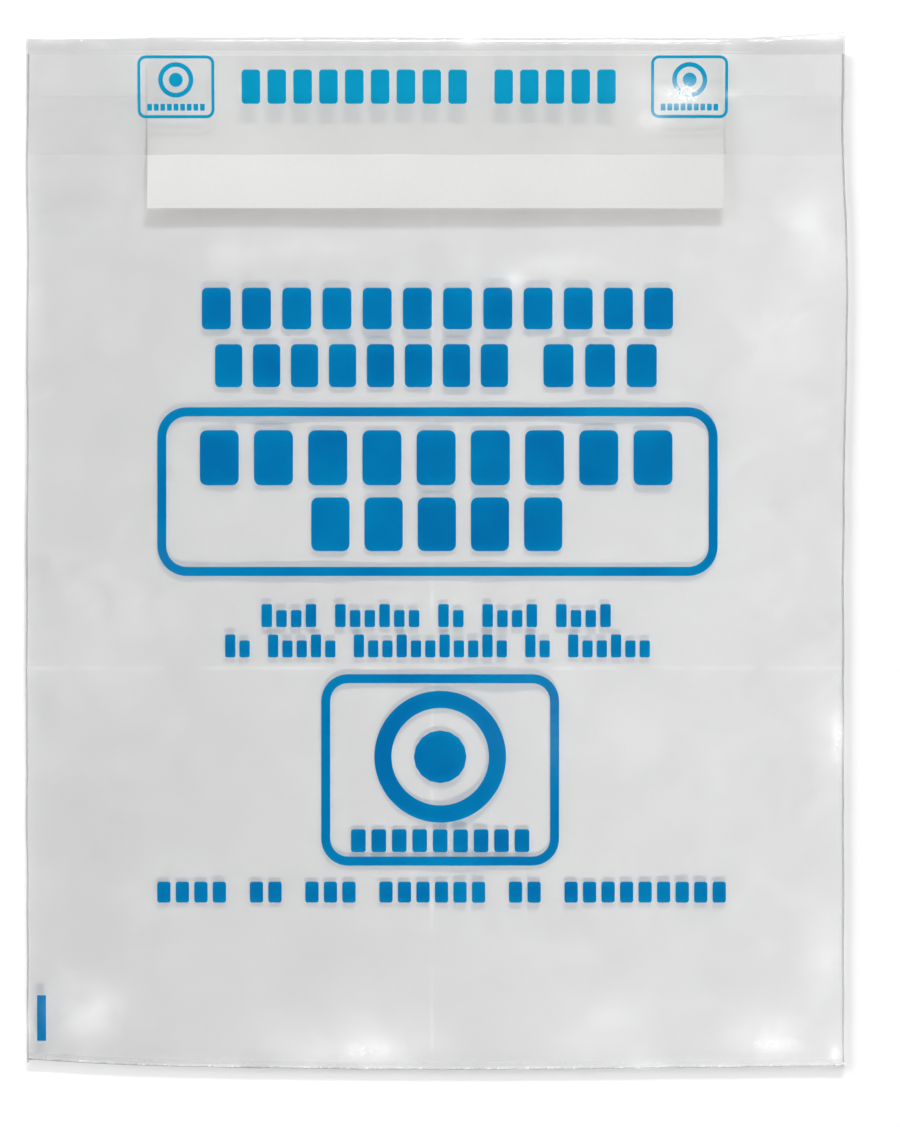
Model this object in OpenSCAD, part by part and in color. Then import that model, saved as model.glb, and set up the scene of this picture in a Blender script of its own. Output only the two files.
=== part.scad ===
// Flat disposal bag with a fold-over header flap and a white header card.
// The bag lies flat with its mouth towards +Y and its printed front facing +Z.
// The origin is on the floor, at the centre of the bag's outline.

/* [Bag] */
// width of the bag across its side folds, mm
bag_w = 610; // [450:10:760]
// length from the top fold to the bottom edge, mm
bag_l = 762; // [600:6:960]
// thickness at which the film is drawn, mm
film_t = 0.3; // [0.1:0.05:0.5]
// height of the front wall's outer face above the floor, mm
wall_h = 6; // [5:0.5:8]
// width of the folded strip along each side, mm
side_w = 6; // [5:1:12]
// width of the flat weld along the bottom, mm
seal_w = 6; // [4:1:12]

/* [Header] */
// radius of the springy fold over the top, mm
fold_r = 10; // [9:0.5:13]
// length of the flap from the top fold to its free edge, mm
flap_l = 86; // [70:1:110]
// width of the white card, mm
card_w = 428; // [300:2:440]
// length of the white card from the top fold, mm
card_l = 126; // [100:1:150]
// thickness of the white card, mm
card_t = 0.5; // [0.3:0.1:1]

/* [Print] */
// thickness at which the ink is drawn, mm
ink_t = 0.1; // [0.05:0.05:0.2]
// width of the lines of the large frames, mm
line_w = 6.7; // [4:0.1:8]
// share of a letter's pitch that its block fills
block_fill = 0.72; // [0.6:0.02:0.9]

/* [Part] */
// which sub-part to draw

/* [Hidden] */
$fn = 48;

// gap between sheets that move past each other
gap = 0.5;
// the print is laid out for a 610 x 762 bag and shrinks or grows with the bag
art_k = min(bag_w / 610, bag_l / 762);

half_w = bag_w / 2;
top_y = bag_l / 2;
bottom_y = -bag_l / 2;
wall_half = half_w - side_w;
seal_y = bottom_y + seal_w;
// the front wall climbs from the weld to its full height over this length
ramp_l = 12;
// packing crease across the front, where the mouth panel hinges
crease_y = -86 * art_k;
// centre line of the fold over the top, which is also the flap's hinge
axis_y = top_y - fold_r;
axis_z = fold_r;
// upper end of the back wall, just clear of the fold
back_top_y = axis_y - fold_r - 1;
// upper edge of the front wall, hidden under the flap
mouth_y = top_y - 41;
flap_z = 2 * fold_r;
flap_y = top_y - flap_l;
// the card starts just inside the fold
card_top_y = axis_y - 2;
card_y = top_y - card_l;
// the header print is centred on the part of the flap that shows it
header_y = top_y - 36.5;

// height of a low block in a line of small letters, as a share of a tall one
low_share = 0.74;
// corner radius of a block, as a share of its width
corner_share = 0.18;

clear_film = [0.86, 0.88, 0.9, 0.5];
white_card = [0.93, 0.93, 0.91];
header_ink = [0.06, 0.5, 0.67];
body_ink = [0.01, 0.37, 0.61];

// ---- film ----

// a sheet given by its side view, a list of [y, z] points, drawn across the bag
module across(points, half) {
    translate([-half, 0, 0])
        rotate([90, 0, 90])
            linear_extrude(2 * half)
                polygon(points);
}

module back_wall() {
    color(clear_film)
        translate([-wall_half, seal_y, 0])
            cube([2 * wall_half, back_top_y - seal_y, film_t]);
}

// the strip that joins the two walls down the right side, a C seen from the end
module side_strip() {
    chamfer = 2;
    inner = chamfer - film_t / 2;
    translate([0, back_top_y, 0])
        rotate([90, 0, 0])
            linear_extrude(back_top_y - seal_y)
                polygon([
                    [wall_half, 0],
                    [half_w - chamfer, 0],
                    [half_w, chamfer],
                    [half_w, wall_h - chamfer],
                    [half_w - chamfer, wall_h],
                    [wall_half, wall_h],
                    [wall_half, wall_h - film_t],
                    [half_w - film_t - inner, wall_h - film_t],
                    [half_w - film_t, wall_h - film_t - inner],
                    [half_w - film_t, film_t + inner],
                    [half_w - film_t - inner, film_t],
                    [wall_half, film_t]
                ]);
}

module right_fold() {
    color(clear_film) side_strip();
}

module left_fold() {
    color(clear_film) mirror([1, 0, 0]) side_strip();
}

// both walls welded flat together, and the film that climbs from the weld to the front wall
module bottom_seal() {
    color(clear_film) {
        translate([-half_w, bottom_y, 0])
            cube([bag_w, seal_w, 2 * film_t]);
        across([
            [seal_y, film_t],
            [seal_y + ramp_l, wall_h - film_t],
            [seal_y + ramp_l, wall_h],
            [seal_y, 2 * film_t]
        ], wall_half - gap);
    }
}

module front_lower() {
    color(clear_film)
        translate([gap - wall_half, seal_y + ramp_l, wall_h - film_t])
            cube([2 * (wall_half - gap), crease_y - seal_y - ramp_l, film_t]);
}

module front_upper() {
    color(clear_film)
        translate([gap - wall_half, crease_y + gap, wall_h - film_t])
            cube([2 * (wall_half - gap), mouth_y - crease_y - gap, film_t]);
}

// ---- header ----

// the springy bend over the top, an open half ring of flat facets
module header_fold() {
    steps = 12;
    outer = [for (i = [0 : steps]) let (a = 90 - 180 * i / steps)
        [axis_y + fold_r * cos(a), axis_z + fold_r * sin(a)]];
    inner = [for (i = [steps : -1 : 0]) let (a = 90 - 180 * i / steps)
        [axis_y + (fold_r - film_t) * cos(a), axis_z + (fold_r - film_t) * sin(a)]];
    color(clear_film) across(concat(outer, inner), half_w);
}

module header_flap() {
    color(clear_film)
        translate([-half_w, flap_y, flap_z - film_t])
            cube([bag_w, axis_y - flap_y, film_t]);
}

module card() {
    color(white_card)
        translate([-card_w / 2, card_y, axis_z - card_t / 2])
            cube([card_w, card_top_y - card_y, card_t]);
}

// ---- print ----

// a rounded rectangle centred on the origin
module pad(w, h, r) {
    square([w - 2 * r, h], center = true);
    square([w, h - 2 * r], center = true);
    for (sx = [-1, 1], sy = [-1, 1])
        translate([sx * (w / 2 - r), sy * (h / 2 - r)])
            circle(r);
}

// a rounded frame of line width t
module ring_pad(w, h, r, t) {
    difference() {
        pad(w, h, r);
        pad(w - 2 * t, h - 2 * t, r - t);
    }
}

// one word of n plain blocks, from x0 to x1, in the layout of the standard bag;
// small letters get every third block taller, in the way of ascenders
module word(x0, x1, y0, y1, n, small = false) {
    pitch = (x1 - x0) / n * art_k;
    h = (y1 - y0) * art_k;
    for (i = [0 : n - 1]) {
        tall = !small || i % 3 == 0;
        block_h = tall ? h : low_share * h;
        w = pitch * block_fill;
        translate([x0 * art_k + pitch * (i + 0.5), y0 * art_k + block_h / 2])
            pad(w, block_h, corner_share * w);
    }
}

// a line of words set between x0 and x1, each counts[i] letters long, one blank apart
module word_line(x0, x1, y0, y1, counts, small = false) {
    pitch = (x1 - x0) / (sum(counts) + len(counts) - 1);
    for (i = [0 : len(counts) - 1]) {
        letters_before = sum([for (j = [0 : 1 : i - 1]) counts[j]]);
        start = x0 + pitch * (letters_before + i);
        word(start, start + pitch * counts[i], y0, y1, counts[i], small);
    }
}

function sum(list, i = 0) = i < len(list) ? list[i] + sum(list, i + 1) : 0;

// ink lying on a sheet whose face is at height z
module ink_on(z) {
    translate([0, 0, z]) linear_extrude(ink_t) children();
}

module header_words() {
    color(header_ink)
        ink_on(flap_z) translate([0, header_y]) {
            word(-146, 26, -12.5, 12.5, 9);
            word(41, 136, -12.5, 12.5, 5);
        }
}

// two small boxes, each with a plain ring, a dot and a tiny word
module header_emblems() {
    centre_x = 190;
    color(header_ink)
        ink_on(flap_z) for (side = [-1, 1])
            translate([side * centre_x * art_k, header_y]) {
                ring_pad(57 * art_k, 46 * art_k, 6 * art_k, 2.2 * art_k);
                translate([0, 5 * art_k]) plain_symbol(13 * art_k);
                word(-22, 22, -17.5, -12.5, 9);
            }
}

// a plain ring round a disc
module plain_symbol(r) {
    difference() {
        circle(r);
        circle(0.74 * r);
    }
    circle(0.4 * r);
}

module title_words() {
    color(body_ink)
        ink_on(wall_h) {
            word(-178, 181, 166, 197, 12);
            word(-168, 58, 123, 155, 8);
            word(76, 169, 123, 155, 3);
        }
}

module hazard_frame() {
    color(body_ink)
        ink_on(wall_h) translate([1.5 * art_k, 45.3 * art_k])
            ring_pad(417 * art_k, 125.5 * art_k, 22 * art_k, line_w * art_k);
}

module hazard_words() {
    color(body_ink)
        ink_on(wall_h) {
            word(-181, 182, 50, 91, 9);
            word(-98, 100, 1, 41, 5);
        }
}

module note_words() {
    color(body_ink)
        ink_on(wall_h) {
            word_line(-131, 132, -55.5, -38.4, [4, 6, 2, 4, 4], true);
            word_line(-158, 161, -78, -61, [2, 5, 11, 2, 6], true);
        }
}

module symbol_frame() {
    color(body_ink)
        ink_on(wall_h) translate([3.5 * art_k, -161.8 * art_k])
            ring_pad(177 * art_k, 142.5 * art_k, 20 * art_k, line_w * art_k);
}

module symbol() {
    color(body_ink)
        ink_on(wall_h) translate([3.5 * art_k, -152 * art_k])
            plain_symbol(49 * art_k);
}

module symbol_word() {
    color(body_ink)
        ink_on(wall_h) word(-65, 72, -223, -206, 9);
}

module base_words() {
    color(body_ink)
        ink_on(wall_h) word_line(-209, 218, -260.5, -245, [4, 2, 3, 6, 2, 9]);
}

module registration_mark() {
    color(body_ink)
        ink_on(wall_h) translate([-292.7 * art_k, -346 * art_k])
            square([6.7 * art_k, 34 * art_k], center = true);
}

back_wall();
left_fold();
right_fold();
bottom_seal();
front_lower();
front_upper();
header_fold();
header_flap();
card();
header_words();
header_emblems();
title_words();
hazard_frame();
hazard_words();
note_words();
symbol_frame();
symbol();
symbol_word();
base_words();
registration_mark();
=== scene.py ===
"""Looks for a flat clear disposal bag with a fold-over header flap.

The film is drawn as thin sheets that follow one height function each, and every patch of ink is laid
on the same function, so that print and film wrinkle together. Lengths are in millimetres until a
vertex is made.
"""
import math

import bpy
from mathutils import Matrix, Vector, noise


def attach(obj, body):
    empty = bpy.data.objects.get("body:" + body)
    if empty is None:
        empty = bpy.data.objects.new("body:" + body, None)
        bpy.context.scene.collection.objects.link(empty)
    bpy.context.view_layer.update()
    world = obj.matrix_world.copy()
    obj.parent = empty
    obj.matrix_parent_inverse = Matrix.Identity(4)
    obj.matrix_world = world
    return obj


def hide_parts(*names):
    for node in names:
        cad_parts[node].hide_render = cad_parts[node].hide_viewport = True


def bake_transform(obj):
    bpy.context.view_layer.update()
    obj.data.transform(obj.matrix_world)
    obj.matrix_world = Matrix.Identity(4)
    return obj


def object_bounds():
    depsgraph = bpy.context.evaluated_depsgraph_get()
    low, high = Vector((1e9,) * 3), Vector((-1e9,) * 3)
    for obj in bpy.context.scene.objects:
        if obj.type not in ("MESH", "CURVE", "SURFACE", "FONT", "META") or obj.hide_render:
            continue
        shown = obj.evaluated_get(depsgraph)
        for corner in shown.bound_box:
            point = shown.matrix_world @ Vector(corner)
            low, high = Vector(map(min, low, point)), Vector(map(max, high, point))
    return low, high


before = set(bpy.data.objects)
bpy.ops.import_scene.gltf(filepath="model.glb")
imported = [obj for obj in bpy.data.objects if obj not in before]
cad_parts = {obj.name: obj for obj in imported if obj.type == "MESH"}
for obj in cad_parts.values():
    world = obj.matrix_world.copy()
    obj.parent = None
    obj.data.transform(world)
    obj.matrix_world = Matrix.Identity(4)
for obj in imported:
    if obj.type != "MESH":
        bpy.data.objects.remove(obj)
cad_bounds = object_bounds()

MM = 0.001
BOX_X, BOX_Y, BOX_Z = (round(side / MM, 3) for side in cad_bounds[1])   # the CAD's right, top and height

# outline of the lying bag
HALF_W = BOX_X - 1
BOTTOM_Y = -BOX_Y - 0.5
SEAL_W = 5.0
RIB_PITCH = 3.2         # of the fine ribs across the weld
CREASE_X = -2.6         # packing creases, one down the bag and one across it
CREASE_Y = -86.0
CREASE_W = 2.2
MOUTH_Y = BOX_Y - 41
EDGE_R = 1.3            # reach of the roll down each side
BEAD_R = 0.75           # half depth of the bead along the bottom edge
EDGE_H = 5.8            # how high the film stands along the sides and the bottom
ROW_Y = BOTTOM_Y + 9    # below this row the sheets stretch to meet the uneven bottom edge
FLOOR_GAP = 0.35        # height of the back wall above the floor

# header
AXIS_Y = BOX_Y - 10
LOOP_Y = 10.5           # how far the springy loop reaches out past its axis
LOOP_TOP = BOX_Z - 0.7
FLAP_END = 13.0         # height of the flap's free edge
FLAP_Y = BOX_Y - 86     # where that edge lies
FADE_Y = (297, 338)     # where the flap's free ends and the mouth's edge melt away
CARD_HALF = 214.0
CARD_TOP = AXIS_Y - 2
CARD_Y = BOX_Y - 125.5
CARD_T = 0.4

# print
DOT_HALF = 0.05         # least half width of a row of ink
INK_GAP = 0.22          # how far the ink is drawn above its film
LINE_W = 6.7            # width of the frames' lines
BLOCK_FILL = 0.72       # a block's width as a share of its pitch
LOW_SHARE = 0.74        # height of the low blocks in small print
CORNER_SHARE = 0.18     # a block's corner radius as a share of its width
RING_SHARE = 0.87       # radius, width and disc of the plain symbol, as shares of its size
RING_W_SHARE = 0.26
DISC_SHARE = 0.4
SYMBOL_X, SYMBOL_Y, SYMBOL_R = 3.5, -152, 49
HEADER_Y = 344.5
EMBLEM_R = 13
EMBLEM_LINE_W = 2.2


# ---------------------------------------------------------------- numbers

def smooth(a, b, t):
    """Rises from 0 at a to 1 at b, without corners."""
    u = min(1.0, max(0.0, (t - a) / (b - a)))
    return u * u * (3 - 2 * u)


def bump_at(x, centre, width):
    """A bell curve, 1 at its centre."""
    return math.exp(-((x - centre) / width) ** 2)


def wave(x, y, length, seed):
    """Smooth noise from -1 to 1 with features about length mm across."""
    return noise.noise(Vector((x / length, y / length, seed)))


def ridge(x, y, length, seed):
    """Crested noise from 0 to 1, for pinched film."""
    return 1.2 - math.hypot(2 * wave(x, y, length, seed), 0.2)


# ---------------------------------------------------------------- outline

def right_x(y):
    return HALF_W + 3.2 * bump_at(y, 185, 95) - 1.2 * bump_at(y, 305, 40) + 0.7 * wave(0, y, 46, 3.1)


def left_x(y):
    return -HALF_W - 1.2 * bump_at(y, -60, 160) + 0.9 * wave(0, y, 52, 8.4)


def bottom_y(x):
    return BOTTOM_Y - 3.4 * bump_at(x, 20, 230) + 4.5 * bump_at(x, -320, 80) + 0.3 * wave(x, 0, 40, 5.2)


def top_rise(x):
    """How far the top fold stands past its mean line."""
    return 5.2 * smooth(212, 300, x) + 0.7 * wave(x, 0, 70, 2.2)


# ---------------------------------------------------------------- pinches, and painted light and shade

# places where film is pinched: x, y, reach and depth
FRONT_PINCHES = (
    (-300, -345, 42, 0.6), (285, -362, 46, 0.7), (302, -140, 40, 0.7),      # lower corners and side
    (-60, -376, 50, 0.5), (302, 60, 50, 0.4), (-302, 130, 60, 0.6),
    (105, 208, 13, 0.9), (-20, 214, 22, 0.4), (250, 150, 34, 0.4),          # above the title
)
FLAP_PINCHES = (
    (186, 338, 26, 1.3), (208, 326, 14, 1.2), (150, 352, 20, 0.6),          # round the right emblem
    (262, 380, 46, 1.6), (-288, 376, 34, 0.9), (30, 378, 150, 0.4),         # along the top fold
)

# painted highlights on the film, and painted shade where the strength is below zero: x, y, half width,
# half height and strength
PAINTED_LIGHT = (
    # lower left corner and bottom edge
    (-259, -341, 26, 17, 0.30), (-303, -351, 3, 12, 0.5), (-55, -371, 34, 9, 0.45),
    (-62, -362, 60, 24, 0.16), (126, -360, 34, 24, 0.20), (97, -298, 26, 9, 0.13),
    # lower right corner and right side
    (250, -366, 15, 5, 0.5), (256, -361, 34, 15, 0.36), (297, -374, 3, 5, 1.2),
    (288, -300, 14, 34, 0.16), (299, -140, 4, 18, 0.7), (292, -150, 12, 40, 0.18),
    (277, 228, 15, 34, 0.30), (250, 150, 30, 30, 0.14),
    # above the title
    (-150, 220, 17, 11, 0.28), (-95, 226, 30, 8, 0.14), (58, 203, 8, 5, 0.36), (100, 215, 40, 8, 0.16),
    # left side and middle
    (-240, -60, 40, 60, 0.08), (-298, 180, 6, 30, 0.12), (-270, 262, 34, 9, -0.15),
    (-285, 240, 20, 5, -0.12), (-232, 100, 40, 60, -0.04), (120, -130, 60, 30, 0.05),
    (-230, -200, 50, 50, -0.03),
)
FLAP_PAINTED_LIGHT = (
    # round the right emblem
    (184, 339, 16, 8, 0.85), (182, 341, 30, 14, 0.2), (160, 319, 9, 8, 0.5), (219, 339, 6, 4, 0.5),
    (150, 341, 10, 14, 0.20),
    # along the top fold
    (288, 383, 22, 2.5, 0.9), (-283, 380, 26, 3, 0.5), (-250, 377, 12, 3, 0.35), (25, 379, 10, 3, 0.4),
    (120, 380, 16, 2.5, 0.25), (235, 372, 16, 9, -0.3), (-275, 374, 34, 10, -0.35),
    (272, 373, 30, 8, -0.35),
    # beyond the card's ends
    (-238, 346, 22, 34, -0.3), (-216, 305, 7, 16, -0.3), (-262, 345, 60, 50, -0.45),
    (-282, 352, 14, 8, 0.15), (262, 352, 50, 34, -0.5), (250, 320, 30, 26, 0.10),
)
REACH = 9               # squared distance, in widths, past which a place counts for nothing


def painted_light_at(x, y, places):
    """How much painted light (or painted shade, below zero) lies on the film at a place."""
    total = 0.0
    for cx, cy, rx, ry, amount in places:
        d = ((x - cx) / rx) ** 2 + ((y - cy) / ry) ** 2
        if d < REACH:
            total += amount * math.exp(-d)
    return total


def pinch_at(x, y, places):
    """How hard the film is pinched at a place, from 0 to about 1.5."""
    total = 0.0
    for cx, cy, reach, amount in places:
        d = ((x - cx) ** 2 + (y - cy) ** 2) / reach ** 2
        if d < REACH:
            total += amount * math.exp(-d)
    return total


def crumple(x, y):
    return 0.7 * pinch_at(x, y, FRONT_PINCHES) * ridge(x + 0.4 * y, y - 0.3 * x, 26, 0.7)


# ---------------------------------------------------------------- settled film

SIM_PITCH = 10.0
SIM_X = (1 - HALF_W, HALF_W - 1)
SIM_Y = (BOTTOM_Y + 5.5, MOUTH_Y)
SIM_SCALE = 0.01        # the simulation runs ten times life size, which suits the solver
SIM_HELD_Z = 3          # height of the held edges
SIM_GAP = 0.012         # how far the cloth keeps off the ground, in the simulation's own units
SIM_GROUND = 6          # half the ground's side, in the same units


def simulate_front(frames=60):
    """Lets the slack front wall settle over the back wall as cloth, held along its sides and weld.
    Returns rows of heights in mm."""
    nx = round((SIM_X[1] - SIM_X[0]) / SIM_PITCH) + 1
    ny = round((SIM_Y[1] - SIM_Y[0]) / SIM_PITCH) + 1
    verts, held = [], []
    for j in range(ny):
        for i in range(nx):
            x = SIM_X[0] + (SIM_X[1] - SIM_X[0]) * i / (nx - 1)
            y = SIM_Y[0] + (SIM_Y[1] - SIM_Y[0]) * j / (ny - 1)
            z = 6 + 3 * wave(x, y, 90, 3) + 1.5 * wave(x, y, 35, 8)
            if i in (0, nx - 1) or j == 0:
                z = SIM_HELD_Z
                held.append(j * nx + i)
            verts.append((x * SIM_SCALE, y * SIM_SCALE, z * SIM_SCALE))
    faces = [(j * nx + i, j * nx + i + 1, (j + 1) * nx + i + 1, (j + 1) * nx + i)
             for j in range(ny - 1) for i in range(nx - 1)]
    mesh = bpy.data.meshes.new("sim_film")
    mesh.from_pydata(verts, [], faces)
    cloth_obj = bpy.data.objects.new("sim_film", mesh)
    ground_mesh = bpy.data.meshes.new("sim_ground")
    g = SIM_GROUND
    ground_mesh.from_pydata([(-g, -g, 0), (g, -g, 0), (g, g, 0), (-g, g, 0)], [], [(0, 1, 2, 3)])
    ground = bpy.data.objects.new("sim_ground", ground_mesh)
    scene = bpy.context.scene
    for obj in (cloth_obj, ground):
        scene.collection.objects.link(obj)
    ground.modifiers.new("collision", "COLLISION")
    ground.collision.thickness_outer = SIM_GAP
    cloth_obj.vertex_groups.new(name="held").add(held, 1.0, "REPLACE")
    cloth = cloth_obj.modifiers.new("cloth", "CLOTH")
    settings = cloth.settings
    settings.quality = 6
    settings.mass = 0.3
    settings.tension_stiffness = settings.compression_stiffness = 15
    settings.shear_stiffness = 5
    settings.bending_stiffness = 5
    settings.tension_damping = settings.compression_damping = 5
    settings.bending_damping = 0.5
    settings.air_damping = 2
    settings.vertex_group_mass = "held"
    settings.shrink_min = -0.003
    settings.effector_weights.gravity = 0.03
    cloth.collision_settings.use_self_collision = False
    cloth.collision_settings.distance_min = SIM_GAP
    cloth.point_cache.frame_start, cloth.point_cache.frame_end = 1, frames
    scene.frame_start, scene.frame_end = 1, frames
    for f in range(1, frames + 1):
        scene.frame_set(f)
    settled = cloth_obj.evaluated_get(bpy.context.evaluated_depsgraph_get())
    moved = settled.to_mesh()
    heights = [v.co.z / SIM_SCALE for v in moved.vertices]
    settled.to_mesh_clear()
    for obj in (cloth_obj, ground):
        bpy.data.objects.remove(obj)
    for data in (mesh, ground_mesh):
        bpy.data.meshes.remove(data)
    scene.frame_set(1)
    return [heights[j * nx:(j + 1) * nx] for j in range(ny)]


settled_rows = simulate_front()


def catmull(p0, p1, p2, p3, t):
    """A smooth curve through four values, between the middle two."""
    cubic = 3 * (p1 - p2) + p3 - p0
    square = 2 * p0 - 5 * p1 + 4 * p2 - p3
    return p1 + 0.5 * t * (p2 - p0 + t * (square + t * cubic))


def settled_z(x, y):
    if settled_rows is None:
        return 4.2 + 2.6 * wave(x, y, 150, 1.7) + 1.1 * wave(x, 0.6 * y, 62, 6.3)
    ny, nx = len(settled_rows), len(settled_rows[0])
    u = (x - SIM_X[0]) / (SIM_X[1] - SIM_X[0]) * (nx - 1)
    v = (y - SIM_Y[0]) / (SIM_Y[1] - SIM_Y[0]) * (ny - 1)
    i, j = math.floor(u), math.floor(v)

    def at(jj, ii):
        return settled_rows[min(max(jj, 0), ny - 1)][min(max(ii, 0), nx - 1)]

    rows = [catmull(*(at(j + b, i + a) for a in (-1, 0, 1, 2)), u - i) for b in (-1, 0, 1, 2)]
    return catmull(*rows, v - j)


# ---------------------------------------------------------------- heights

def soft_max(a, b, sharp=1.5):
    """The larger of two values, with the corner between them rounded."""
    return b + math.log(1 + math.exp(min(60.0, sharp * (a - b)))) / sharp


def front_z(x, y):
    """Height of the front wall's outer face."""
    h = settled_z(x, y) - 1.2
    # fuller behind the title, lower behind the symbol
    h += 1.4 * bump_at(y, 175, 60) - 1.2 * bump_at(math.hypot(x, y + 165), 0, 105)
    h += 0.12 * wave(x, y, 17, 9.9)
    # the card and the flap keep the film under them down
    room = 8.5 - 4.2 * smooth(215, 262, y)
    h = -soft_max(-h, -room)
    h = 1.7 + 0.75 * (soft_max(h, 1.1) - 0.9) + 0.7 * bump_at(y, -60, 35)
    h += crumple(x, y)
    # packing creases
    h += 0.75 * math.exp(-abs(x - CREASE_X) / CREASE_W) * (0.6 + 0.4 * wave(0, y, 30, 4.4))
    h += 0.6 * math.exp(-abs(y - CREASE_Y) / CREASE_W) * (0.6 + 0.4 * wave(x, 0, 34, 7.7))
    # up to the side rolls and the lower edge
    side = min(right_x(y) - x, x - left_x(y))
    h = EDGE_H + (h - EDGE_H) * (1 - math.exp(-max(0.0, side - EDGE_R) / 9))
    low = y - bottom_y(x) - BEAD_R
    return EDGE_H - 0.4 + (h - EDGE_H + 0.4) * (1 - math.exp(-max(0.0, low) / 15))


def back_z(x, y):
    return FLOOR_GAP + 0.12 * (1 + wave(x, y, 80, 12.5))


def flap_fullness(x):
    """The loop is full over the card and pressed down beyond its ends."""
    return 1 - 0.42 * smooth(205, 262, abs(x)) + 0.03 * wave(x, 0, 90, 15.1)


def flap_crumple(x, y):
    return 0.7 * pinch_at(x, y, FLAP_PINCHES) * ridge(x, y, 24, 5.5)


def flap_z(x, y):
    """Height of the flap for y below the loop's axis."""
    full = flap_fullness(x)
    u = smooth(0, AXIS_Y - FLAP_Y, AXIS_Y - y) ** 1.5
    h = (LOOP_TOP - (LOOP_TOP - FLAP_END) * u) * full
    h += smooth(0, 12, AXIS_Y - y) * (0.9 * wave(x, y, 75, 21.0) + 0.3 * wave(x, y, 28, 22.0))
    return h + flap_crumple(x, y) * smooth(0, 8, AXIS_Y - y)


def loop_point(x, turn):
    """A point of the loop: turn is 0 on the floor and 1 at the top."""
    angle = math.pi * (turn - 0.5)
    top, base = LOOP_TOP * flap_fullness(x), back_z(x, AXIS_Y)
    mid, half = (top + base) / 2, (top - base) / 2
    reach = LOOP_Y + top_rise(x)
    pinch = 0.8 * math.sin(math.pi * turn) * flap_crumple(x, 378 - 6 * turn)
    # square roots make the loop's outline fuller than a half circle
    out = math.sqrt(max(0.0, math.cos(angle)))
    up = math.copysign(math.sqrt(abs(math.sin(angle))), math.sin(angle))
    return x, AXIS_Y + (reach - pinch) * out, mid + half * up


def card_z(x, y):
    """Height of the card's middle: it hangs level and curls up a little at its free edge."""
    free = smooth(310, CARD_Y, y)
    return 6.9 + 3.0 * free * (1 - 0.35 * smooth(40, 200, x)) + 0.5 * free * wave(x, 0, 90, 31.0)


# ---------------------------------------------------------------- meshes

def make_object(name, verts, faces, material, shade_smooth=True):
    mesh = bpy.data.meshes.new(name)
    mesh.from_pydata([(x * MM, y * MM, z * MM) for x, y, z in verts], [], faces)
    mesh.update()
    for p in mesh.polygons:
        p.use_smooth = shade_smooth
    mesh.materials.append(material)
    obj = bpy.data.objects.new(name, mesh)
    bpy.context.scene.collection.objects.link(obj)
    return obj


def steps(a, b, pitch):
    """Even steps from a to b, no further apart than the pitch."""
    n = max(1, math.ceil(abs(b - a) / pitch))
    return [a + (b - a) * i / n for i in range(n + 1)]


def mark(obj, pinches=(), painted_spots=()):
    """Tells a piece's material where it is pinched, to glint, and where light and shade are painted on
    it.
    """
    for key, measure, places in (("pinch", pinch_at, pinches), ("painted_light", painted_light_at, painted_spots)):
        layer = obj.data.attributes.new(key, "FLOAT", "POINT")
        values = [measure(v.co.x / MM, v.co.y / MM, places) for v in obj.data.vertices]
        layer.data.foreach_set("value", values)
    return obj


def grid(name, us, vs, point, material, pinches=(), painted_spots=()):
    """A sheet of quads through point(u, v)."""
    verts = [point(u, v) for v in vs for u in us]
    n = len(us)
    faces = [
        (j * n + i, j * n + i + 1, (j + 1) * n + i + 1, (j + 1) * n + i)
        for j in range(len(vs) - 1) for i in range(n - 1)
    ]
    return mark(make_object(name, verts, faces, material), pinches, painted_spots)


class Ink:
    """Collects patches of ink that lie on one height function."""

    def __init__(self, height):
        self.height = height
        self.verts = []
        self.faces = []

    def patch(self, rows):
        """rows of points with the same count in each; neighbours are joined by quads."""
        start, n = len(self.verts), len(rows[0])
        for row in rows:
            self.verts += [(x, y, self.height(x, y) + INK_GAP) for x, y in row]
        for j in range(len(rows) - 1):
            for i in range(n - 1):
                a = start + j * n + i
                self.faces.append((a, a + 1, a + n + 1, a + n))

    def block(self, cx, cy, w, h, r, pitch=2.4):
        """A rounded block, built from rows that narrow round the corners."""
        r = min(r, w / 2, h / 2)
        arcs = [r * (1 - math.cos(math.pi / 2 * i / 4)) for i in range(5)]
        ys = [cy - h / 2 + a for a in arcs]
        if h > 2 * r:
            ys += steps(cy - h / 2 + r, cy + h / 2 - r, pitch)[1:]
        ys += [cy + h / 2 - a for a in arcs[::-1]][1:]
        n = max(2, math.ceil(w / pitch))
        rows = []
        for y in ys:
            into = max(0.0, abs(y - cy) - (h / 2 - r))
            half = max(DOT_HALF, w / 2 - r + math.sqrt(max(0.0, r * r - into * into)))
            rows.append([(cx - half + 2 * half * i / n, y) for i in range(n + 1)])
        self.patch(rows)

    def stroke(self, path, width, closed=False):
        """A line of ink along a path of points and their normals, as (x, y, nx, ny)."""
        rows = []
        for x, y, nx, ny in path + (path[:1] if closed else []):
            rows.append([(x + nx * t * width, y + ny * t * width) for t in (-0.5, -0.17, 0.17, 0.5)])
        self.patch(rows)

    def disc(self, cx, cy, r):
        self.block(cx, cy, 2 * r, 2 * r, r)

    def ring(self, cx, cy, r, width):
        n = max(24, math.ceil(2 * math.pi * r / 2.5))
        path = []
        for i in range(n):
            a = 2 * math.pi * i / n
            path.append((cx + r * math.cos(a), cy + r * math.sin(a), math.cos(a), math.sin(a)))
        self.stroke(path, width, closed=True)

    def done(self, name, material):
        return make_object(name, self.verts, self.faces, material)


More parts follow.
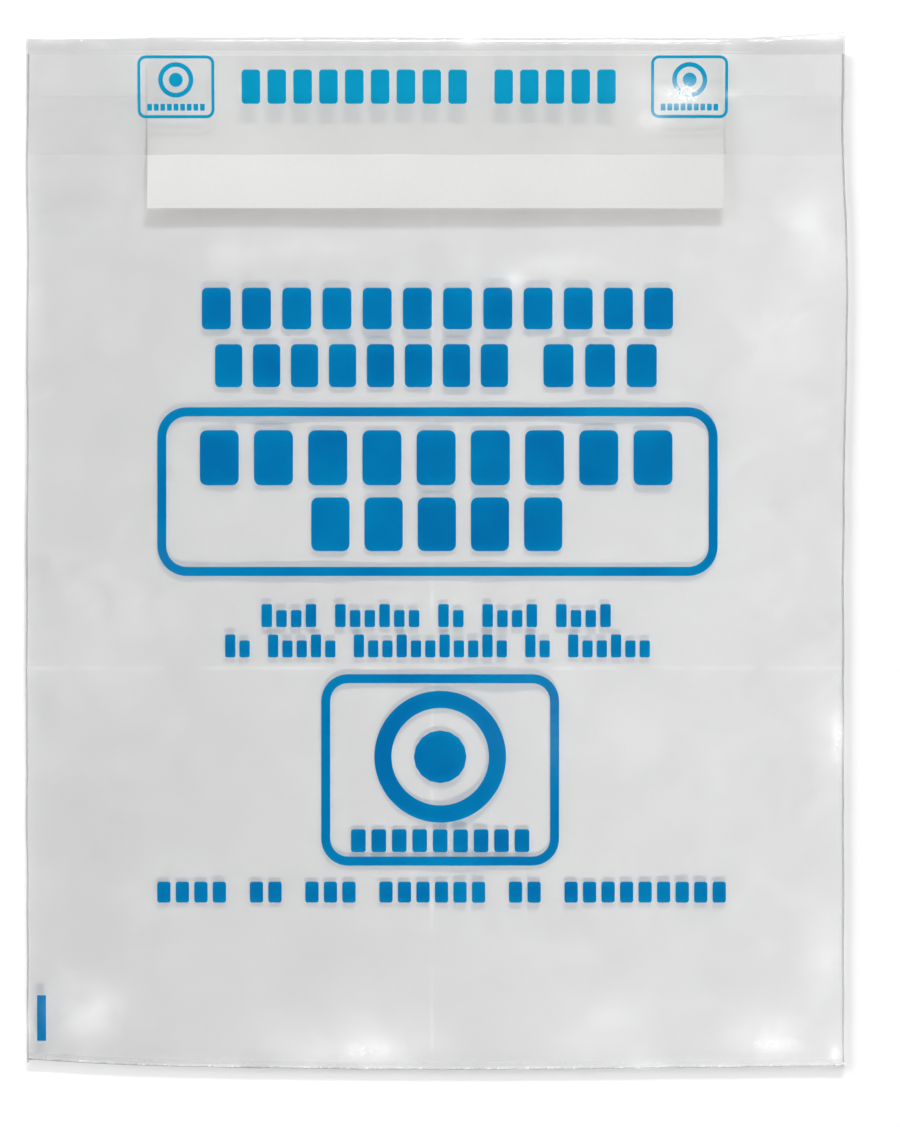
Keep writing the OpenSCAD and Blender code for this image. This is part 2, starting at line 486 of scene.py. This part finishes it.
def frame_path(cx, cy, w, h, r, pitch=2.5):
    """Centre line of a rounded frame, from the top middle round clockwise, with outward normals."""
    x, y = w / 2 - r, h / 2 - r
    path = [(cx + t, cy + h / 2, 0, 1) for t in steps(0, x, pitch)[:-1]]
    for qx, qy, a0 in ((x, y, 90), (x, -y, 0), (-x, -y, -90), (-x, y, -180)):
        if (qx, qy) == (x, -y):
            path += [(cx + w / 2, cy + t, 1, 0) for t in steps(y, -y, pitch)[1:-1]]
        if (qx, qy) == (-x, -y):
            path += [(cx + t, cy - h / 2, 0, -1) for t in steps(x, -x, pitch)[1:-1]]
        if (qx, qy) == (-x, y):
            path += [(cx - w / 2, cy + t, -1, 0) for t in steps(-y, y, pitch)[1:-1]]
        for i in range(11):
            a = math.radians(a0 - 90 * i / 10)
            nx, ny = math.cos(a), math.sin(a)
            path.append((cx + qx + r * nx, cy + qy + r * ny, nx, ny))
    path += [(cx + t, cy + h / 2, 0, 1) for t in steps(-x, 0, pitch)[1:]]
    return path


def word_blocks(x0, x1, y0, y1, n, small=False):
    """The plain blocks of one word, as (cx, cy, w, h); in small print two of three are low."""
    pitch = (x1 - x0) / n
    out = []
    for i in range(n):
        h = (y1 - y0) * (1 if not small or i % 3 == 0 else LOW_SHARE)
        out.append((x0 + pitch * (i + 0.5), y0 + h / 2, pitch * BLOCK_FILL, h))
    return out


def line_blocks(x0, x1, y0, y1, counts, small=False):
    """The blocks of a line of words, counts[i] letters long, one blank apart."""
    pitch = (x1 - x0) / (sum(counts) + len(counts) - 1)
    out, at = [], 0
    for n in counts:
        out += word_blocks(x0 + pitch * at, x0 + pitch * (at + n), y0, y1, n, small)
        at += n + 1
    return out


def ink_blocks(ink, blocks):
    for cx, cy, w, h in blocks:
        ink.block(cx, cy, w, h, CORNER_SHARE * w)


# ---------------------------------------------------------------- materials

HIGHLIGHT_STRENGTH = 1.12       # how bright a painted highlight is, where 1 shows as white
CLOUDS = (26.0, 3.0, 0.6, 0.8)      # scale, detail, roughness and distortion of the film's clouds


class Nodes:
    """Short forms for building a material's node tree."""

    def __init__(self, name):
        self.material = bpy.data.materials.new(name)
        self.material.use_nodes = True
        self.tree = self.material.node_tree
        self.tree.nodes.clear()
        self.out = self.tree.nodes.new("ShaderNodeOutputMaterial")
        self.coords = self.tree.nodes.new("ShaderNodeTexCoord").outputs["Object"]

    def add(self, kind, inputs=None, **settings):
        node = self.tree.nodes.new(kind)
        for key, value in settings.items():
            setattr(node, key, value)
        for key, value in (inputs or {}).items():
            socket = node.inputs[key]
            if isinstance(value, bpy.types.NodeSocket):
                self.tree.links.new(value, socket)
            else:
                socket.default_value = value
        return node

    def noise(self, scale, detail=3.0, rough=0.5, distort=0.0, coords=None):
        return self.add("ShaderNodeTexNoise", {
            "Vector": coords or self.coords, "Scale": scale,
            "Detail": detail, "Roughness": rough, "Distortion": distort,
        }).outputs["Fac"]

    def remap(self, value, lo, hi, out_lo, out_hi):
        return self.add("ShaderNodeMapRange", {
            "Value": value, "From Min": lo, "From Max": hi, "To Min": out_lo, "To Max": out_hi,
        }).outputs["Result"]

    def mix_color(self, fac, a, b):
        node = self.add("ShaderNodeMix", data_type="RGBA")
        self.tree.links.new(fac, node.inputs[0])
        for socket, value in ((node.inputs[6], a), (node.inputs[7], b)):
            if isinstance(value, bpy.types.NodeSocket):
                self.tree.links.new(value, socket)
            else:
                socket.default_value = (*value, 1)
        return node.outputs[2]

    def math(self, op, a, b=0.0):
        node = self.add("ShaderNodeMath", operation=op)
        for socket, value in ((node.inputs[0], a), (node.inputs[1], b)):
            if isinstance(value, bpy.types.NodeSocket):
                self.tree.links.new(value, socket)
            else:
                socket.default_value = value
        return node.outputs[0]

    def bump(self, height, strength, distance):
        return self.add("ShaderNodeBump", {
            "Height": height, "Strength": strength, "Distance": distance,
        }).outputs["Normal"]

    def mix_shader(self, fac, a, b):
        node = self.add("ShaderNodeMixShader")
        if isinstance(fac, bpy.types.NodeSocket):
            self.tree.links.new(fac, node.inputs[0])
        else:
            node.inputs[0].default_value = fac
        self.tree.links.new(a, node.inputs[1])
        self.tree.links.new(b, node.inputs[2])
        return node.outputs[0]

    def attribute(self, name):
        return self.add("ShaderNodeAttribute", attribute_name=name).outputs["Fac"]

    def near(self, value, centre, width):
        """1 at the centre, falling to 0 at width to either side."""
        return self.remap(self.off(value, centre), 0.0, width, 1.0, 0.0)

    def off(self, value, centre):
        """How far a value is from the centre, either way."""
        return self.math("ABSOLUTE", self.math("SUBTRACT", value, centre))

    def stretched(self, angle, squeeze):
        """Coordinates in which a pattern is drawn out along a slanting line."""
        turned = self.add("ShaderNodeVectorRotate", {
            "Vector": self.coords, "Angle": angle,
        }, rotation_type="Z_AXIS").outputs[0]
        return self.add("ShaderNodeVectorMath", {
            0: turned, 1: (squeeze, 1, 1),
        }, operation="MULTIPLY").outputs[0]

    def light_run(self):
        """Which way the light of a shadow travels over the bag: its x and its y."""
        came = self.add("ShaderNodeNewGeometry").outputs["Incoming"]
        parts = self.add("ShaderNodeSeparateXYZ", {"Vector": came})
        return parts.outputs["X"], parts.outputs["Y"]

    def spare_side_light(self, shade, spared):
        """The shade, but with the light from either side let by, so that shadows fall up and down."""
        across, along = self.light_run()
        sideways = self.math("SUBTRACT", self.math("ABSOLUTE", across), self.math("ABSOLUTE", along))
        return self.mix_color(self.remap(sideways, -0.1, 0.1, 0.0, 1.0), shade, spared)

    def paint_highlights(self, shader, painted_light, clouds):
        """Paints over a shader, as white emission, the highlights that curved film throws back, soft
        first, then broken white.
        It casts no shadow."""
        # painted highlights: soft where the marked light is, broken into white flecks where it is strong
        soft = self.math("MULTIPLY", painted_light, self.remap(clouds, 0.35, 0.65, 0.22, 0.68))
        flecks = self.math("ADD", self.noise(330.0, 4.0, 0.6, 0.6), self.math("MULTIPLY", painted_light, 0.30))
        hard = self.math(
            "MULTIPLY", self.remap(flecks, 0.70, 0.95, 0.0, 1.0), self.remap(painted_light, 0.25, 0.9, 0.0, 1.0))
        casts = self.add("ShaderNodeLightPath").outputs["Is Shadow Ray"]
        seen = self.math("SUBTRACT", self.math("ADD", soft, hard), casts)
        amount = self.remap(seen, 0.0, 1.0, 0.0, 1.0)
        # the painted highlight is a white emission, though no lamp is there
        white = self.add("ShaderNodeEmission", {"Strength": HIGHLIGHT_STRENGTH}).outputs[0]
        self.material.cycles.emission_sampling = "NONE"     # it shows, and lights nothing
        return self.mix_shader(amount, shader, white)

    def finish(self, shader, shade=None):
        """shade, if given, is the colour of the light that passes on into this material's shadows."""
        if shade:
            shadow_ray = self.add("ShaderNodeLightPath").outputs["Is Shadow Ray"]
            color = (*shade, 1) if isinstance(shade, tuple) else shade
            pass_on = self.add("ShaderNodeBsdfTransparent", {"Color": color}).outputs[0]
            shader = self.mix_shader(shadow_ray, shader, pass_on)
        self.tree.links.new(shader, self.out.inputs["Surface"])
        return self.material


def film_material(name, tint=0.938, haze=0.10, fade=None, shade=None, shade_outward=False):
    """Clear film: mostly see-through, a little milky, glossy towards grazing angles.

    fade(nodes, x, y) gives a share, 0 to 1, of the tint and the milkiness at a place, for film
    whose edge hardly shows. shade is how much light its shadows let through, if not the tint;
    shade_outward keeps that to the shadows that fall away from the bag's middle."""
    n = Nodes(name)
    patches = n.noise(7.0, 2.0)
    fine = n.noise(90.0, 4.0)
    clouds = n.noise(*CLOUDS)
    pinch, painted_light = n.attribute("pinch"), n.attribute("painted_light")
    # relief: soft dents, a fine grain and, where film is pinched, sharp facets
    facets = n.off(n.noise(75.0, 2.5, 0.45), 0.5)
    relief = n.math("ADD", n.noise(38.0, 3.0), n.math("MULTIPLY", fine, 0.2))
    relief = n.math("ADD", relief, n.math("MULTIPLY", n.math("MULTIPLY", facets, pinch), 8.0))
    bump = n.bump(relief, 0.6, 0.0006)
    # tone: soft clouds, painted light and shade in streaks along wrinkles running up to the right and
    # along the packing creases, a darker left side, and the marked spots' painted light and shade
    xyz = n.add("ShaderNodeSeparateXYZ", {"Vector": n.coords})
    x, y = xyz.outputs["X"], xyz.outputs["Y"]
    wrinkle = n.near(n.noise(34.0, 3.0, 0.6, 0.5, n.stretched(-0.55, 0.28)), 0.5, 0.05)
    beside = n.remap(n.math("ABSOLUTE", x), 0.16, 0.3, 0.25, 1.0)
    crease = n.math(
        "MAXIMUM", n.near(x, CREASE_X * MM, CREASE_W * MM), n.near(y, CREASE_Y * MM, CREASE_W * MM))
    tone = n.math("ADD", n.remap(patches, 0.3, 0.7, -0.5, 0.5), n.remap(clouds, 0.3, 0.7, -0.45, 0.45))
    for mask, weight in (
        (n.math("MULTIPLY", wrinkle, beside), n.remap(clouds, 0.4, 0.6, -1.2, 1.6)),
        (crease, n.remap(clouds, 0.4, 0.6, -0.6, 3.2)),
        (n.remap(x, -0.3, 0.3, -1.8, 2.2), 1.0),
        (painted_light, 4.5),
    ):
        tone = n.math("ADD", tone, n.math("MULTIPLY", mask, weight))
    # clear and milky parts
    share = fade(n, x, y) if fade else None
    # painted light and shade: the marked spots lighten the tint, and below zero darken it towards grey
    full = n.mix_color(n.remap(tone, -4.0, 4.0, 0.0, 1.0), (tint - 0.048,) * 3, (tint + 0.048,) * 3)
    full = n.mix_color(n.remap(painted_light, 0.0, -1.0, 0.0, 1.0), full, (0.72, 0.72, 0.72))
    tinted = n.mix_color(share, (1, 1, 1), full) if fade else full
    clear = n.add("ShaderNodeBsdfTransparent", {"Color": tinted}).outputs[0]
    white = (0.86, 0.865, 0.87, 1)
    diffuse = n.add("ShaderNodeBsdfDiffuse", {"Color": white, "Normal": bump}).outputs[0]
    through = n.add("ShaderNodeBsdfTranslucent", {"Color": white, "Normal": bump}).outputs[0]
    milk = n.mix_shader(0.5, diffuse, through)
    haze_amount = n.remap(patches, 0.3, 0.7, 0.7 * haze, 1.35 * haze)
    if fade:
        haze_amount = n.math("MULTIPLY", haze_amount, share)
    base = n.mix_shader(haze_amount, clear, milk)
    # gloss, rising towards grazing angles
    rough = n.remap(fine, 0.3, 0.7, 0.10, 0.2)
    gloss = n.add("ShaderNodeBsdfGlossy", {
        "Color": (1, 1, 1, 1), "Roughness": rough, "Normal": bump,
    }).outputs[0]
    facing = n.add("ShaderNodeLayerWeight", {"Blend": 0.5, "Normal": bump}).outputs["Facing"]
    fresnel = n.math("ADD", 0.05, n.math("MULTIPLY", n.math("POWER", facing, 4.0), 0.5))
    shade_color = shade and (shade,) * 3
    if shade_outward:
        across, along = n.light_run()
        outward = n.math("ADD", n.math("MULTIPLY", x, across), n.math("MULTIPLY", y, along))
        inward = n.remap(outward, -0.02, 0.02, 1.0, 0.0)
        shade_color = n.mix_color(inward, shade_color, (0.85, 0.85, 0.85))
    return n.finish(n.paint_highlights(n.mix_shader(fresnel, base, gloss), painted_light, clouds), shade_color)


def ink_material(name, dark, light, glow_color, shade):
    """Printed ink: two close blues that drift into each other over a film that lets some light
    through; with a faint sheen, painted highlights and grain. shade tints the shadows that the print
    casts."""
    n = Nodes(name)
    drift = n.remap(n.noise(15.0, 2.0), 0.35, 0.65, 0.0, 1.0)
    grain = n.noise(700.0, 2.0)
    color = n.mix_color(drift, dark, light)
    color = n.mix_color(n.remap(grain, 0.3, 0.75, 0.0, 0.16), color, tuple(0.7 * c for c in dark))
    bump = n.bump(grain, 0.15, 0.0002)
    print_face = n.add("ShaderNodeBsdfPrincipled", {
        "Base Color": color, "Roughness": n.remap(grain, 0.3, 0.7, 0.35, 0.5), "Normal": bump,
        "Specular IOR Level": 0.12,
    }).outputs[0]
    see_through = n.add("ShaderNodeBsdfTransparent", {"Color": (*glow_color, 1)}).outputs[0]
    inked = n.mix_shader(0.4, print_face, see_through)
    shade = n.spare_side_light(shade, (0.85, 0.9, 0.92))
    return n.finish(n.paint_highlights(inked, n.attribute("painted_light"), n.noise(*CLOUDS)), shade)


def card_material():
    """Matt off-white card with a faint fibre grain."""
    n = Nodes("card_stock")
    fibre = n.noise(420.0, 6.0, 0.65)
    cloud = n.noise(12.0, 2.0)
    color = n.mix_color(n.remap(cloud, 0.3, 0.7, 0, 1), (0.645, 0.645, 0.632), (0.675, 0.675, 0.662))
    color = n.mix_color(n.remap(fibre, 0.35, 0.7, 0, 0.2), color, (0.57, 0.57, 0.555))
    shader = n.add("ShaderNodeBsdfPrincipled", {
        "Base Color": color, "Roughness": n.remap(fibre, 0.3, 0.7, 0.8, 0.95),
        "Normal": n.bump(fibre, 0.25, 0.0003), "Specular IOR Level": 0.2,
    }).outputs[0]
    return n.finish(shader, n.spare_side_light((0.50, 0.48, 0.46), (0.75, 0.74, 0.72)))


def flap_share(n, x, y):
    """Full over the card; beyond the card's ends the flap's free edge melts into the film below."""
    past_card = n.remap(n.math("ABSOLUTE", x), CARD_HALF * MM, (CARD_HALF + 2) * MM, 0.0, 1.0)
    up = n.remap(y, FADE_Y[0] * MM, FADE_Y[1] * MM, 0.0, 1.0)
    return n.math("MAXIMUM", n.math("SUBTRACT", 1.0, past_card), up)


def mouth_share(n, x, y):
    """The front wall's upper edge melts away under the flap."""
    return n.remap(y, FADE_Y[0] * MM, FADE_Y[1] * MM, 1.0, 0.0)


film = film_material("clear_film")
film_mouth = film_material("clear_film_mouth", fade=mouth_share)
# the header's and the loop's film are tinted darker than the rest: painted shade over the header
film_header = film_material("clear_film_header", tint=0.895, haze=0.08, fade=flap_share, shade=0.95)
film_loop = film_material("clear_film_loop", tint=0.825, haze=0.14, shade=0.92)
film_weld = film_material("clear_film_weld", tint=0.96, haze=0.14, shade=0.93)
film_edge = film_material("clear_film_edge", tint=0.66, haze=0.3, shade=0.1, shade_outward=True)
film_bead = film_material("clear_film_bead", tint=0.6, haze=0.3, shade=0.12, shade_outward=True)
body_ink = ink_material(
    "body_ink", (0.0, 0.135, 0.41), (0.0, 0.20, 0.48), (0.0, 0.42, 0.68), (0.02, 0.16, 0.26))
header_ink = ink_material(
    "header_ink", (0.003, 0.26, 0.50), (0.005, 0.30, 0.54), (0.0, 0.48, 0.70), (0.52, 0.55, 0.57))
card_stock = card_material()


# ---------------------------------------------------------------- film pieces

PITCH = 3.0             # between the points of the film's sheets
BEND_FROM = 0.3         # where the opening mouth is meant to start lifting, in metres from the middle; add_film leaves it unread


def sheet_point(height):
    """u runs from 0 at the left edge to 1 at the right. v from 0 up is the distance above ROW_Y;
    from -1 to 0 it stretches the sheet between the uneven bottom edge and ROW_Y."""
    def point(u, v):
        row = ROW_Y + max(0.0, v)
        x0, x1 = left_x(row) + EDGE_R, right_x(row) - EDGE_R
        x = x0 + (x1 - x0) * u
        y = row if v >= 0 else bottom_y(x) + BEAD_R + (ROW_Y - bottom_y(x) - BEAD_R) * (1 + v)
        return x, y, height(x, y)
    return point


def add_film(obj, node, *where):
    """Rides a film piece on one body; given two bodies with a start and an end, it leaves the piece
    fixed where it lies.
    """
    if len(where) == 1:
        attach(obj, where[0])
    else:
        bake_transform(obj)
    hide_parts(node)


shares = steps(0, 1, PITCH / (2 * HALF_W))
middle = len(shares) // 2
bottom_rows = steps(-1, 0, 0.25)

back_rows = bottom_rows[:-1] + steps(0, AXIS_Y - ROW_Y, 5.0)
back = grid("back_film", shares, back_rows, sheet_point(back_z), film)
add_film(back, "back_wall", "bag")

lower_rows = bottom_rows[:-1] + steps(0, CREASE_Y - ROW_Y, PITCH)
lower = grid("front_film_lower", shares, lower_rows, sheet_point(front_z), film, FRONT_PINCHES, PAINTED_LIGHT)
add_film(lower, "front_lower", "bag")

mouth_rows = steps(CREASE_Y - ROW_Y, MOUTH_Y - ROW_Y, PITCH)
for side, sign, part in (("left", -1, shares[:middle + 1]), ("right", 1, shares[middle:])):
    sheet = grid(
        f"front_film_{side}", part, mouth_rows, sheet_point(front_z), film_mouth, FRONT_PINCHES, PAINTED_LIGHT)
    add_film(sheet, "front_upper", "bag", "mouth_panel", (sign * BEND_FROM, 0, 0), (0, 0, 0))


def side_roll(edge_x, sign):
    """The rolled fold down one side, joining the front wall to the back wall."""
    def point(u, v):
        a = math.pi * (0.5 - u)
        x = edge_x(v) - sign * EDGE_R
        top, base = front_z(x, v), back_z(x, v)
        r = (top - base) / 2
        return x + sign * EDGE_R * math.cos(a), v, base + r + r * math.sin(a)
    return point


for node, edge, sign in (("left_fold", left_x, -1), ("right_fold", right_x, 1)):
    roll = grid(f"{node}_film", [i / 8 for i in range(9)], steps(BOTTOM_Y + 2, AXIS_Y, PITCH),
                side_roll(edge, sign), film_edge, (), PAINTED_LIGHT)
    add_film(roll, node, "bag")


def seal_point(u, v):
    """The welded band, v from 0 at its lower to 1 at its upper side, ribbed by the sealing bar."""
    x0, x1 = left_x(ROW_Y) + EDGE_R, right_x(ROW_Y) - EDGE_R
    x = x0 + (x1 - x0) * u
    y = bottom_y(x) + BEAD_R + SEAL_W * v
    ribs = 0.08 * math.sin(2 * math.pi * x / RIB_PITCH) * math.sin(math.pi * v)
    return x, y, front_z(x, y) + 0.2 + ribs


rib_shares = steps(0, 1, RIB_PITCH / 4 / (2 * HALF_W))
seal = grid("bottom_seal_film", rib_shares, steps(0, 1, 0.2), seal_point, film_weld)
add_film(seal, "bottom_seal", "bag")
for vertex, painted_light in zip(seal.data.vertices, seal.data.attributes["painted_light"].data):
    above = vertex.co.y / MM - bottom_y(vertex.co.x / MM) - BEAD_R
    painted_light.value += 0.8 * smooth(2.0, 0.4, above)     # painted highlight: a bright line along the edge


def bead_point(u, v):
    """The rounded lower edge, v going once round it."""
    x0, x1 = left_x(ROW_Y) + 0.4, right_x(ROW_Y) - 0.4
    x = x0 + (x1 - x0) * u
    a = 2 * math.pi * v
    r = BEAD_R * (1 + 0.15 * wave(x, 0, 30, 51.0))
    return x, bottom_y(x) + BEAD_R + r * math.cos(a), 0.15 + EDGE_H * (0.5 + 0.5 * math.sin(a))


bead = grid("bottom_edge_bead", shares, steps(0, 1, 0.125), bead_point, film_bead)
add_film(bead, "bottom_seal", "bag")


def header_sheet_point(u, v):
    """v from 0 to 1 climbs the loop, and from 1 on runs down the flap."""
    x = left_x(350) + (right_x(350) - left_x(350)) * u
    if v <= 1:
        return loop_point(x, v)
    y = AXIS_Y + (FLAP_Y + 0.8 * wave(x, 0, 60, 41.0) - AXIS_Y) * (v - 1)
    return x, y, flap_z(x, y)


loop_rows = steps(0, 1, 1 / 24)
fold = grid(
    "header_fold_film", shares, loop_rows, header_sheet_point, film_loop, FLAP_PINCHES, FLAP_PAINTED_LIGHT)
add_film(fold, "header_fold", "bag", "flap", (0, 0, 0.001), (0, 0, 0.010))

flap_rows = steps(1, 2, PITCH / (AXIS_Y - FLAP_Y))
flap = grid(
    "header_flap_film", shares, flap_rows, header_sheet_point, film_header, FLAP_PINCHES, FLAP_PAINTED_LIGHT)
add_film(flap, "header_flap", "flap")


# ---------------------------------------------------------------- card

def make_card():
    """A thin sheet of card with real edges, closed all round."""
    xs, ys = steps(-CARD_HALF, CARD_HALF, 6.0), steps(CARD_Y, CARD_TOP, 4.0)
    n, m = len(xs), len(ys)
    verts = [(x, y, card_z(x, y) + s * CARD_T / 2) for s in (-1, 1) for y in ys for x in xs]
    faces = []
    for j in range(m - 1):
        for i in range(n - 1):
            a = j * n + i
            faces.append((a, a + n, a + n + 1, a + 1))
            b = a + n * m
            faces.append((b, b + 1, b + n + 1, b + n))
    rim = [i for i in range(n)] + [j * n + n - 1 for j in range(1, m)]
    rim += [(m - 1) * n + i for i in range(n - 2, -1, -1)] + [j * n for j in range(m - 2, 0, -1)]
    for k, a in enumerate(rim):
        b = rim[(k + 1) % len(rim)]
        faces.append((a, b, b + n * m, a + n * m))
    return make_object("white_card", verts, faces, card_stock, shade_smooth=False)


card = make_card()
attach(card, "card_panel")
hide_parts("card")


# ---------------------------------------------------------------- print

def ride_ink(obj, body, node, painted_spots=PAINTED_LIGHT):
    """Puts one body's print in place of the CAD's."""
    mark(obj, (), painted_spots)
    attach(obj, body)
    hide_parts(node)


def split_ink(name, node, draw):
    """Draws print on the upper front wall in two halves, one over each half of the film."""
    for side, sign in (("left", -1), ("right", 1)):
        ink = Ink(front_z)
        draw(ink, sign)
        obj = mark(ink.done(f"{name}_{side}", body_ink), (), PAINTED_LIGHT)
        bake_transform(obj)
        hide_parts(node)


def half_of(blocks):
    """A drawer for split_ink, of the blocks on one side of the middle."""
    def draw(ink, sign):
        ink_blocks(ink, [b for b in blocks if (b[0] > 0) == (sign > 0)])
    return draw


split_ink("title_words", "title_words", half_of(
    word_blocks(-178, 181, 166, 197, 12) + word_blocks(-168, 58, 123, 155, 8)
    + word_blocks(76, 169, 123, 155, 3)))
split_ink("hazard_words", "hazard_words", half_of(
    word_blocks(-181, 182, 50, 91, 9) + word_blocks(-98, 100, 1, 41, 5)))
split_ink("note_words", "note_words", half_of(
    line_blocks(-131, 132, -55.5, -38.4, (4, 6, 2, 4, 4), True)
    + line_blocks(-158, 161, -78, -61, (2, 5, 11, 2, 6), True)))


def draw_half_frame(ink, sign):
    """Half of the notice's frame. The path runs clockwise from the top middle."""
    cx, slack = 1.5, 0.01
    path = frame_path(cx, 45.3, 417 - LINE_W, 125.5 - LINE_W, 22 - LINE_W / 2)
    if sign > 0:
        half = [p for p in path[:len(path) * 3 // 4] if p[0] - cx >= -slack]
    else:
        half = [p for p in path[len(path) // 4:] if p[0] - cx <= slack]
    ink.stroke(half, LINE_W)


split_ink("hazard_frame", "hazard_frame", draw_half_frame)


def draw_symbol(ink, cx, cy, r):
    """The plain symbol: a ring round a disc."""
    ink.ring(cx, cy, RING_SHARE * r, RING_W_SHARE * r)
    ink.disc(cx, cy, DISC_SHARE * r)


ink = Ink(front_z)
ink.stroke(frame_path(SYMBOL_X, -161.8, 177 - LINE_W, 142.5 - LINE_W, 20 - LINE_W / 2), LINE_W)
ride_ink(ink.done("symbol_frame_ink", body_ink), "bag", "symbol_frame")

ink = Ink(front_z)
draw_symbol(ink, SYMBOL_X, SYMBOL_Y, SYMBOL_R)
ride_ink(ink.done("symbol_ink", body_ink), "bag", "symbol")

ink = Ink(front_z)
ink_blocks(ink, word_blocks(-65, 72, -223, -206, 9))
ride_ink(ink.done("symbol_word_ink", body_ink), "bag", "symbol_word")

ink = Ink(front_z)
ink_blocks(ink, line_blocks(-209, 218, -260.5, -245, (4, 2, 3, 6, 2, 9)))
ride_ink(ink.done("base_words_ink", body_ink), "bag", "base_words")

ink = Ink(front_z)
ink.block(-292.7, -346, 6.7, 34, 0.4)
ride_ink(ink.done("registration_mark_ink", body_ink), "bag", "registration_mark")

ink = Ink(flap_z)
ink_blocks(ink, word_blocks(-146, 26, HEADER_Y - 12.5, HEADER_Y + 12.5, 9)
           + word_blocks(41, 136, HEADER_Y - 12.5, HEADER_Y + 12.5, 5))
ride_ink(ink.done("header_words_ink", header_ink), "flap", "header_words", FLAP_PAINTED_LIGHT)

for side, sign in (("left", -1), ("right", 1)):
    cx = sign * 190 - 2
    ink = Ink(flap_z)
    ink.stroke(frame_path(cx, HEADER_Y, 57 - EMBLEM_LINE_W, 46 - EMBLEM_LINE_W, 5, 1.5), EMBLEM_LINE_W)
    draw_symbol(ink, cx, HEADER_Y + 5, EMBLEM_R)
    ink_blocks(ink, word_blocks(cx - 22, cx + 22, HEADER_Y - 17.5, HEADER_Y - 12.5, 9))
    obj = ink.done(f"header_emblem_{side}_ink", header_ink)
    ride_ink(obj, "flap", "header_emblems", FLAP_PAINTED_LIGHT)


# ---------------------------------------------------------------- stage

FLOOR_HALF = 3000
CAMERA_HEIGHT = 2.6     # in metres, as are the two below
VIEW_H = 0.8396         # what the picture takes in from top to bottom
VIEW_CENTRE = (0.0108, -0.0082)


def make_stage():
    n = Nodes("stage_white")
    grain = n.noise(60.0, 2.0)
    color = n.mix_color(n.remap(grain, 0.3, 0.7, 0, 1), (0.90, 0.90, 0.90), (0.91, 0.91, 0.91))
    white = n.add("ShaderNodeBsdfDiffuse", {"Color": color}).outputs[0]
    # far out the floor melts into the white surround
    reach = n.add("ShaderNodeVectorMath", {0: n.coords}, operation="LENGTH").outputs["Value"]
    nothing = n.add("ShaderNodeBsdfTransparent").outputs[0]
    white = n.finish(n.mix_shader(n.remap(reach, 0.9, 1.8, 0.0, 1.0), white, nothing))
    corners = [(sx * FLOOR_HALF, sy * FLOOR_HALF, 0) for sx, sy in ((-1, -1), (1, -1), (1, 1), (-1, 1))]
    make_object("floor", corners, [(0, 1, 2, 3)], white)


def softbox(name, direction, elevation, distance, size, power):
    """An oblong light aimed at the bag from a bearing and a height, both in degrees."""
    a, e = math.radians(direction), math.radians(elevation)
    data = bpy.data.lights.new(name, "AREA")
    data.shape = "RECTANGLE"
    data.size, data.size_y = size
    data.energy = power
    obj = bpy.data.objects.new(name, data)
    place = Vector((math.cos(a) * math.cos(e), math.sin(a) * math.cos(e), math.sin(e))) * distance
    obj.location = place
    obj.rotation_euler = (-place).to_track_quat("-Z", "Y").to_euler()
    bpy.context.scene.collection.objects.link(obj)
    return obj


make_stage()
softbox("faint_from_right", -15, 34, 5.4, (3.0, 2.0), 48)
softbox("key_from_top", 84, 34, 3.6, (1.3, 0.4), 76)
softbox("fill_from_bottom", -82, 36, 3.6, (1.3, 0.4), 73)
broad = softbox("broad_from_left", 158, 32, 5.4, (3.4, 2.6), 232)
broad.visible_glossy = False        # it fills and shades, and leaves no glare on the film

# an even dim surround that the camera itself sees as white
world = bpy.data.worlds.new("studio")
world.use_nodes = True
tree = world.node_tree
background = tree.nodes["Background"]
background.inputs["Color"].default_value = (1, 1, 1, 1)
strength = tree.nodes.new("ShaderNodeMapRange")
strength.inputs["To Min"].default_value = 0.025
strength.inputs["To Max"].default_value = 1.05
tree.links.new(tree.nodes.new("ShaderNodeLightPath").outputs["Is Camera Ray"], strength.inputs["Value"])
tree.links.new(strength.outputs["Result"], background.inputs["Strength"])
bpy.context.scene.world = world

# camera straight above, framed like the picture
camera = bpy.data.cameras.new("camera")
camera.sensor_fit = "VERTICAL"
camera.angle = 2 * math.atan(VIEW_H / 2 / CAMERA_HEIGHT)
camera.clip_start, camera.clip_end = 0.1, 20
eye = bpy.data.objects.new("camera", camera)
eye.location = (*VIEW_CENTRE, CAMERA_HEIGHT)
bpy.context.scene.collection.objects.link(eye)
bpy.context.scene.camera = eye

bpy.context.scene.cycles.transparent_max_bounces = 32
bpy.context.scene.view_settings.view_transform = "Standard"
